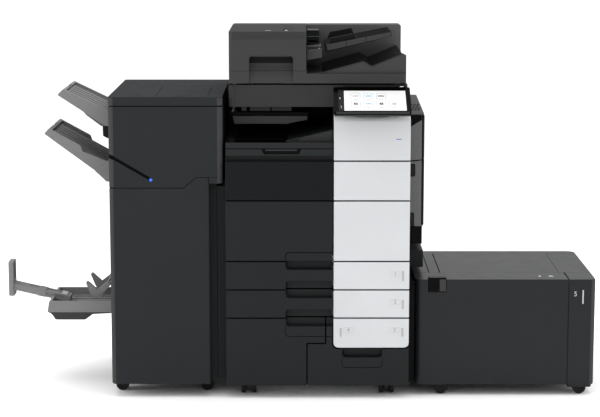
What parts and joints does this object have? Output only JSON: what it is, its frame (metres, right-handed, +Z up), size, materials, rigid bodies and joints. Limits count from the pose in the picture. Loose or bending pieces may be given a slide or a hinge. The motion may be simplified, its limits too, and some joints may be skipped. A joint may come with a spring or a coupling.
{
  "type": "photocopier",
  "caption": "Large floor-standing photocopier with a document feeder, touch panel, paper drawers, a booklet finisher with output trays on the left and a big paper unit on the right.",
  "frame": {"origin": "on the floor, at the centre of the overall box", "axes": "+X to the machine's right as its user sees it, +Y towards its back, +Z up"},
  "size_m": [2.026, 0.788, 1.2385],
  "materials": {
    "charcoal": "fine satin texture",
    "graphite": "fine satin texture",
    "white": "satin",
    "tray_grey": "fine matt texture",
    "black": "semi-gloss",
    "steel": "galvanised",
    "rubber": "matt",
    "glass": "polished",
    "drum": "coated"
  },
  "bodies": {
    "machine": {"base_frame": "steel", "left_cover": "charcoal", "right_cover": "charcoal", "rear_cover": "charcoal", "engine_frame": "steel", "relay_unit": "graphite", "body_column": "charcoal", "upper_front_cover": "white", "scanner_unit": "graphite", "platen_glass": "glass", "finisher_housing": "charcoal", "finisher_top_cover": "charcoal", "finisher_upper_tray": "tray_grey", "booklet_tray": "tray_grey"},
    "scan_carriage": {"scan_carriage": "black"},
    "toner_bottle": {"toner_bottle": "black"},
    "drum": {"drum": "drum"},
    "fuser_roller": {"fuser_roller": "black"},
    "toner_door": {"toner_door": "charcoal", "toner_door_white": "white"},
    "front_door": {"front_door": "charcoal", "front_door_white": "white"},
    "tray_1": {"tray_1": "charcoal", "tray_1_white": "white"},
    "tray_2": {"tray_2": "charcoal", "tray_2_white": "white"},
    "tray_3": {"tray_3": "charcoal"},
    "tray_4": {"tray_4": "charcoal", "tray_4_white": "white"},
    "right_door": {"right_door": "graphite"},
    "bypass_tray": {"bypass_tray": "graphite"},
    "touch_panel": {"touch_panel": "black", "touch_screen": "glass"},
    "feeder": {"feeder_base": "graphite"},
    "feed_cover": {"feed_cover": "graphite"},
    "feed_roller": {"feed_roller": "rubber"},
    "document_tray": {"document_tray": "graphite"},
    "guide_front": {"guide_front": "black"},
    "guide_rear": {"guide_rear": "black"},
    "finisher_top_door": {"finisher_top_door": "charcoal"},
    "finisher_door": {"finisher_door": "charcoal"},
    "stack_tray": {"finisher_stack_tray": "tray_grey"},
    "booklet_stop": {"booklet_stop": "tray_grey"},
    "press_arms": {"press_arms": "tray_grey"},
    "paper_unit": {"lct_housing": "charcoal"},
    "lct_lid": {"lct_lid": "graphite"},
    "lct_lever": {"lct_lever": "black"},
    "lct_lift_plate": {"lct_lift_plate": "steel"},
    "main_wheel_front_left": {"main_wheel_front_left": "rubber"},
    "main_wheel_front_right": {"main_wheel_front_right": "rubber"},
    "main_wheel_rear_left": {"main_wheel_rear_left": "rubber"},
    "main_wheel_rear_right": {"main_wheel_rear_right": "rubber"},
    "finisher_wheel_front_left": {"finisher_wheel_front_left": "rubber"},
    "finisher_wheel_front_right": {"finisher_wheel_front_right": "rubber"},
    "finisher_wheel_rear_left": {"finisher_wheel_rear_left": "rubber"},
    "finisher_wheel_rear_right": {"finisher_wheel_rear_right": "rubber"},
    "lct_wheel_front_left": {"lct_wheel_front_left": "rubber"},
    "lct_wheel_front_right": {"lct_wheel_front_right": "rubber"},
    "lct_wheel_rear_left": {"lct_wheel_rear_left": "rubber"},
    "lct_wheel_rear_right": {"lct_wheel_rear_right": "rubber"}
  },
  "joints": [
    {"name": "scan_travel", "type": "slide", "parent": "machine", "child": "scan_carriage", "axis": [1, 0, 0], "range_m": [0, 0.42]},
    {"name": "toner_bottle_turn", "type": "hinge", "parent": "machine", "child": "toner_bottle", "pos_m": [-0.06, -0.004, 0.745], "axis": [0, 1, 0], "continuous": true},
    {"name": "drum_turn", "type": "hinge", "parent": "machine", "child": "drum", "pos_m": [0.235, 0.014, 0.6], "axis": [0, 1, 0], "continuous": true},
    {"name": "fuser_roller_turn", "type": "hinge", "parent": "machine", "child": "fuser_roller", "pos_m": [0.3, 0.014, 0.72], "axis": [0, 1, 0], "continuous": true},
    {"name": "toner_door_hinge", "type": "hinge", "parent": "machine", "child": "toner_door", "pos_m": [0, -0.2907, 0.6845], "axis": [1, 0, 0], "range_deg": [0, 85]},
    {"name": "front_door_hinge", "type": "hinge", "parent": "machine", "child": "front_door", "pos_m": [-0.2325, -0.288, 0.575], "axis": [0, 0, -1], "range_deg": [0, 100]},
    {"name": "tray_1_slide", "type": "slide", "parent": "machine", "child": "tray_1", "axis": [0, -1, 0], "range_m": [0, 0.45]},
    {"name": "tray_2_slide", "type": "slide", "parent": "machine", "child": "tray_2", "axis": [0, -1, 0], "range_m": [0, 0.45]},
    {"name": "tray_3_slide", "type": "slide", "parent": "machine", "child": "tray_3", "axis": [0, -1, 0], "range_m": [0, 0.45]},
    {"name": "tray_4_slide", "type": "slide", "parent": "machine", "child": "tray_4", "axis": [0, -1, 0], "range_m": [0, 0.45]},
    {"name": "right_door_hinge", "type": "hinge", "parent": "machine", "child": "right_door", "pos_m": [0.384, 0.306, 0.73], "axis": [0, 0, 1], "range_deg": [0, 60]},
    {"name": "bypass_tray_hinge", "type": "hinge", "parent": "right_door", "child": "bypass_tray", "pos_m": [0.4285, 0.081, 0.576], "axis": [0, 1, 0], "range_deg": [0, 70]},
    {"name": "touch_panel_tilt", "type": "hinge", "parent": "machine", "child": "touch_panel", "pos_m": [0.25, -0.334, 0.976], "axis": [1, 0, 0], "range_deg": [0, 35]},
    {"name": "feeder_hinge", "type": "hinge", "parent": "machine", "child": "feeder", "pos_m": [0.07, 0.281, 1.083], "axis": [-1, 0, 0], "range_deg": [0, 65]},
    {"name": "feed_cover_hinge", "type": "hinge", "parent": "feeder", "child": "feed_cover", "pos_m": [-0.2235, -0.04, 1.1135], "axis": [0, -1, 0], "range_deg": [0, 80]},
    {"name": "feed_roller_turn", "type": "hinge", "parent": "feeder", "child": "feed_roller", "pos_m": [-0.05, -0.041, 1.15], "axis": [0, 1, 0], "continuous": true},
    {"name": "document_tray_hinge", "type": "hinge", "parent": "feeder", "child": "document_tray", "pos_m": [0.098, -0.024, 1.169], "axis": [0, -1, 0], "range_deg": [0, 35]},
    {"name": "guide_front_slide", "type": "slide", "parent": "document_tray", "child": "guide_front", "axis": [0, 1, 0], "range_m": [0, 0.095]},
    {"name": "guide_rear_slide", "type": "slide", "parent": "document_tray", "child": "guide_rear", "axis": [0, 1, 0], "range_m": [-0.095, 0]},
    {"name": "finisher_top_door_hinge", "type": "hinge", "parent": "machine", "child": "finisher_top_door", "pos_m": [-0.383, 0.105, 1.024], "axis": [-1, 0, 0], "range_deg": [0, 80]},
    {"name": "finisher_door_hinge", "type": "hinge", "parent": "machine", "child": "finisher_door", "pos_m": [-0.62, -0.274, 0.39], "axis": [0, 0, -1], "range_deg": [0, 100]},
    {"name": "stack_tray_lift", "type": "slide", "parent": "machine", "child": "stack_tray", "axis": [0, 0, 1], "range_m": [-0.25, 0]},
    {"name": "booklet_stop_slide", "type": "slide", "parent": "machine", "child": "booklet_stop", "axis": [-1, 0, 0], "range_m": [-0.1, 0]},
    {"name": "press_arms_hinge", "type": "hinge", "parent": "machine", "child": "press_arms", "pos_m": [-0.658, 0.021, 0.352], "axis": [0, 1, 0], "range_deg": [0, 25]},
    {"name": "paper_unit_slide", "type": "slide", "parent": "machine", "child": "paper_unit", "axis": [1, 0, 0], "range_m": [0, 0.15]},
    {"name": "lct_lid_hinge", "type": "hinge", "parent": "paper_unit", "child": "lct_lid", "pos_m": [0.495, 0.0405, 0.4026], "axis": [0, 1, 0], "range_deg": [-75, 0]},
    {"name": "lct_lever_hinge", "type": "hinge", "parent": "paper_unit", "child": "lct_lever", "pos_m": [0.4767, -0.251, 0.366], "axis": [1, 0, 0], "range_deg": [0, 12], "stiffness_Nm_per_rad": 1.2, "springref_deg": -2.86},
    {"name": "lct_lift", "type": "slide", "parent": "paper_unit", "child": "lct_lift_plate", "axis": [0, 0, 1], "range_m": [0, 0.25]},
    {"name": "main_wheel_front_left_roll", "type": "hinge", "parent": "machine", "child": "main_wheel_front_left", "pos_m": [-0.1636, -0.214, 0.0225], "axis": [1, 0, 0], "continuous": true},
    {"name": "main_wheel_front_right_roll", "type": "hinge", "parent": "machine", "child": "main_wheel_front_right", "pos_m": [0.3075, -0.214, 0.0225], "axis": [1, 0, 0], "continuous": true},
    {"name": "main_wheel_rear_left_roll", "type": "hinge", "parent": "machine", "child": "main_wheel_rear_left", "pos_m": [-0.1636, 0.314, 0.0225], "axis": [1, 0, 0], "continuous": true},
    {"name": "main_wheel_rear_right_roll", "type": "hinge", "parent": "machine", "child": "main_wheel_rear_right", "pos_m": [0.3075, 0.314, 0.0225], "axis": [1, 0, 0], "continuous": true},
    {"name": "finisher_wheel_front_left_roll", "type": "hinge", "parent": "machine", "child": "finisher_wheel_front_left", "pos_m": [-0.6, -0.164, 0.0225], "axis": [0, 1, 0], "continuous": true},
    {"name": "finisher_wheel_front_right_roll", "type": "hinge", "parent": "machine", "child": "finisher_wheel_front_right", "pos_m": [-0.308, -0.164, 0.0225], "axis": [0, 1, 0], "continuous": true},
    {"name": "finisher_wheel_rear_left_roll", "type": "hinge", "parent": "machine", "child": "finisher_wheel_rear_left", "pos_m": [-0.6, 0.306, 0.0225], "axis": [0, 1, 0], "continuous": true},
    {"name": "finisher_wheel_rear_right_roll", "type": "hinge", "parent": "machine", "child": "finisher_wheel_rear_right", "pos_m": [-0.308, 0.306, 0.0225], "axis": [0, 1, 0], "continuous": true},
    {"name": "lct_wheel_front_left_roll", "type": "hinge", "parent": "paper_unit", "child": "lct_wheel_front_left", "pos_m": [0.4932, -0.21, 0.0225], "axis": [0, 1, 0], "continuous": true},
    {"name": "lct_wheel_front_right_roll", "type": "hinge", "parent": "paper_unit", "child": "lct_wheel_front_right", "pos_m": [0.9677, -0.21, 0.0225], "axis": [0, 1, 0], "continuous": true},
    {"name": "lct_wheel_rear_left_roll", "type": "hinge", "parent": "paper_unit", "child": "lct_wheel_rear_left", "pos_m": [0.4932, 0.228, 0.0225], "axis": [0, 1, 0], "continuous": true},
    {"name": "lct_wheel_rear_right_roll", "type": "hinge", "parent": "paper_unit", "child": "lct_wheel_rear_right", "pos_m": [0.9677, 0.228, 0.0225], "axis": [0, 1, 0], "continuous": true}
  ],
  "couplings": [
    {"joint": "guide_rear_slide", "follows": "guide_front_slide", "ratio": -1}
  ]
}
